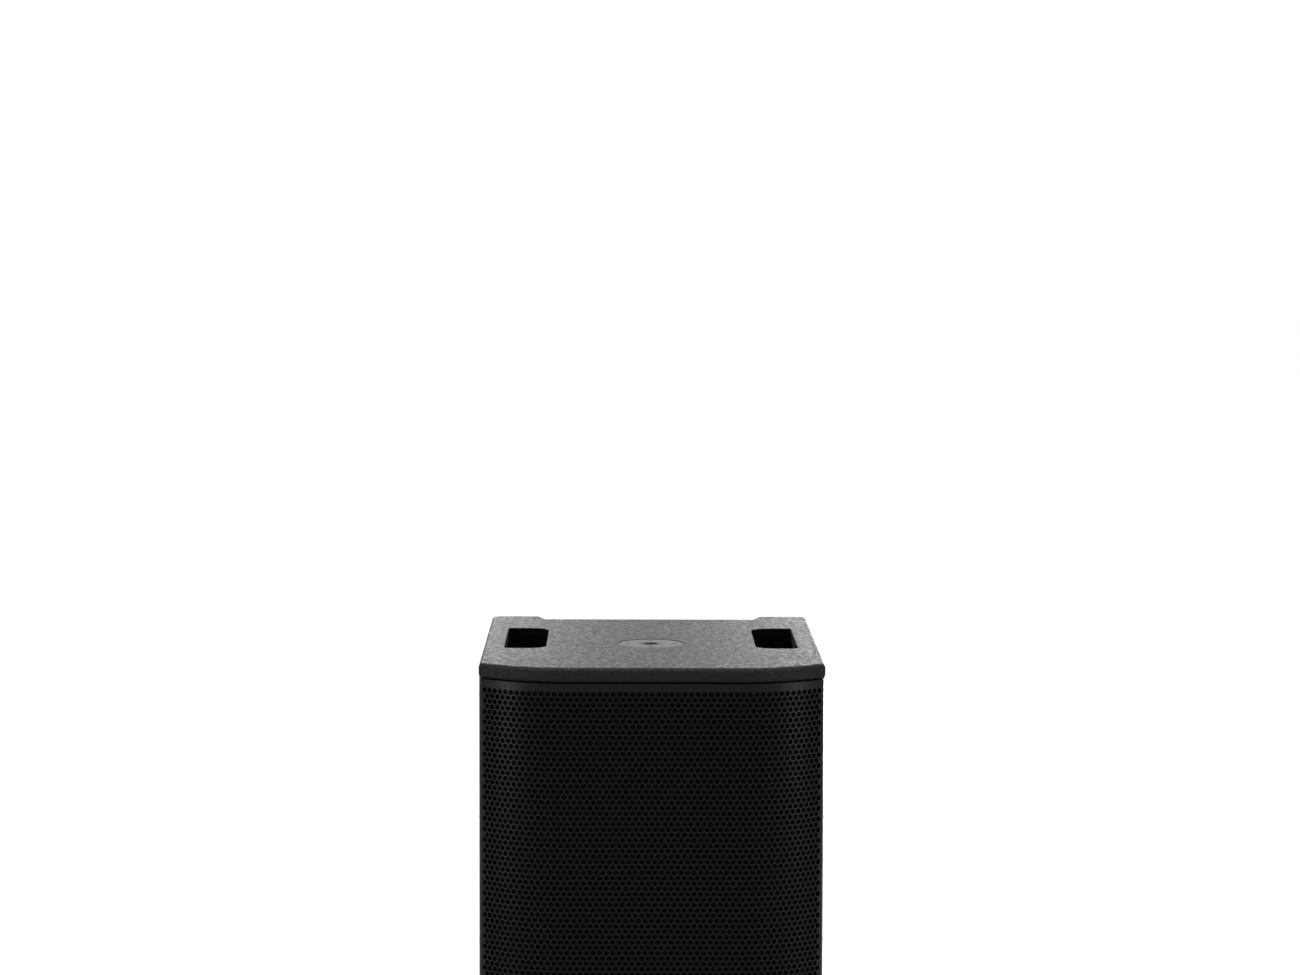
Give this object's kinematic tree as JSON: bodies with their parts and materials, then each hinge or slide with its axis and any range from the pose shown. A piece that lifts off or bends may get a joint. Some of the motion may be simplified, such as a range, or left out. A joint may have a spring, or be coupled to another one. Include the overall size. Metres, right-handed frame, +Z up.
{
  "type": "pa subwoofer",
  "caption": "Floor-standing powered bass speaker: portrait cabinet with a bowed perforated grille, hand pockets and a pole socket on top, and an amplifier plate set into the back.",
  "frame": {"origin": "on the floor under the middle of the cabinet's overall box", "axes": "+Z up; the grille faces -Y and the amplifier plate +Y; +X is to the right when seen from the front"},
  "size_m": [0.45, 0.54, 0.58],
  "materials": {
    "textured_paint": "fine textured black paint on plywood",
    "birch_plywood": "bare birch plywood",
    "black_steel": "satin black powder coat",
    "black_foam": "open-cell acoustic foam",
    "black_plastic": "moulded black plastic",
    "rubber": "soft black rubber",
    "cast_frame": "black painted casting",
    "zinc_steel": "zinc plated steel",
    "ferrite": "dark grey ceramic magnet",
    "cone_paper": "pressed black paper",
    "treated_cloth": "resin-soaked cloth",
    "copper": "enamelled copper wire",
    "anodised": "black anodised aluminium",
    "circuit_board": "green circuit board",
    "wadding": "grey polyester wadding",
    "green_lens": "green lamp lens",
    "red_lens": "red lamp lens"
  },
  "bodies": {
    "cabinet": {"top_panel": "textured_paint", "bottom_panel": "textured_paint", "side_panel_left": "textured_paint", "side_panel_right": "textured_paint", "rear_post_left": "textured_paint", "rear_post_right": "textured_paint", "back_panel": "textured_paint", "baffle": "textured_paint", "port_shelf": "birch_plywood", "port_divider": "birch_plywood", "window_brace": "birch_plywood", "grille": "black_steel", "pole_plate": "black_steel", "pole_socket": "black_steel", "grille_foam": "black_foam", "handle_cup_left": "black_plastic", "handle_cup_right": "black_plastic", "woofer_terminals": "black_plastic", "supply_capacitor": "black_plastic", "phase_switch": "black_plastic", "input_socket_left": "black_plastic", "input_socket_right": "black_plastic", "output_socket_left": "black_plastic", "output_socket_right": "black_plastic", "mains_inlet": "black_plastic", "power_switch": "black_plastic", "foot_front_left": "rubber", "foot_front_right": "rubber", "foot_rear_left": "rubber", "foot_rear_right": "rubber", "speaker_lead": "rubber", "woofer_basket": "cast_frame", "woofer_top_plate": "zinc_steel", "woofer_yoke": "zinc_steel", "amp_enclosure": "zinc_steel", "level_pot": "zinc_steel", "crossover_pot": "zinc_steel", "woofer_magnet": "ferrite", "surround": "treated_cloth", "spider": "treated_cloth", "supply_transformer": "copper", "amp_plate": "anodised", "heat_sink": "anodised", "amp_board": "circuit_board", "lining_left": "wadding", "lining_right": "wadding", "power_lamp": "green_lens", "limit_lamp": "red_lens"},
    "cone_assembly": {"cone": "cone_paper", "dust_cap": "cone_paper", "voice_coil": "copper"},
    "level_control": {"level_knob": "black_plastic", "level_shaft": "zinc_steel"},
    "crossover_control": {"crossover_knob": "black_plastic", "crossover_shaft": "zinc_steel"},
    "rocker": {"power_rocker": "black_plastic"},
    "phase_key": {"phase_button": "black_plastic"},
    "left_latch": {"input_latch_left": "zinc_steel"},
    "right_latch": {"input_latch_right": "zinc_steel"},
    "drawer": {"fuse_drawer": "black_plastic"}
  },
  "joints": [
    {"name": "cone_travel", "type": "slide", "parent": "cabinet", "child": "cone_assembly", "axis": [0, -1, 0], "range_m": [-0.008, 0.008], "stiffness_N_per_m": 4000, "deforming": ["surround", "spider"]},
    {"name": "level_turn", "type": "hinge", "parent": "cabinet", "child": "level_control", "pos_m": [-0.07, 0.241, 0.356], "axis": [0, 1, 0], "range_deg": [-150, 150]},
    {"name": "crossover_turn", "type": "hinge", "parent": "cabinet", "child": "crossover_control", "pos_m": [-0.022, 0.241, 0.356], "axis": [0, 1, 0], "range_deg": [-150, 150]},
    {"name": "power_rock", "type": "hinge", "parent": "cabinet", "child": "rocker", "pos_m": [-0.006, 0.2375, 0.18], "axis": [1, 0, 0], "range_deg": [0, 18]},
    {"name": "phase_press", "type": "slide", "parent": "cabinet", "child": "phase_key", "axis": [0, -1, 0], "range_m": [0, 0.002], "stiffness_N_per_m": 400},
    {"name": "left_latch_press", "type": "slide", "parent": "cabinet", "child": "left_latch", "axis": [0, -1, 0], "range_m": [0, 0.0015], "stiffness_N_per_m": 400},
    {"name": "right_latch_press", "type": "slide", "parent": "cabinet", "child": "right_latch", "axis": [0, -1, 0], "range_m": [0, 0.0015], "stiffness_N_per_m": 400},
    {"name": "fuse_drawer_slide", "type": "slide", "parent": "cabinet", "child": "drawer", "axis": [0, 1, 0], "range_m": [0, 0.012]}
  ]
}
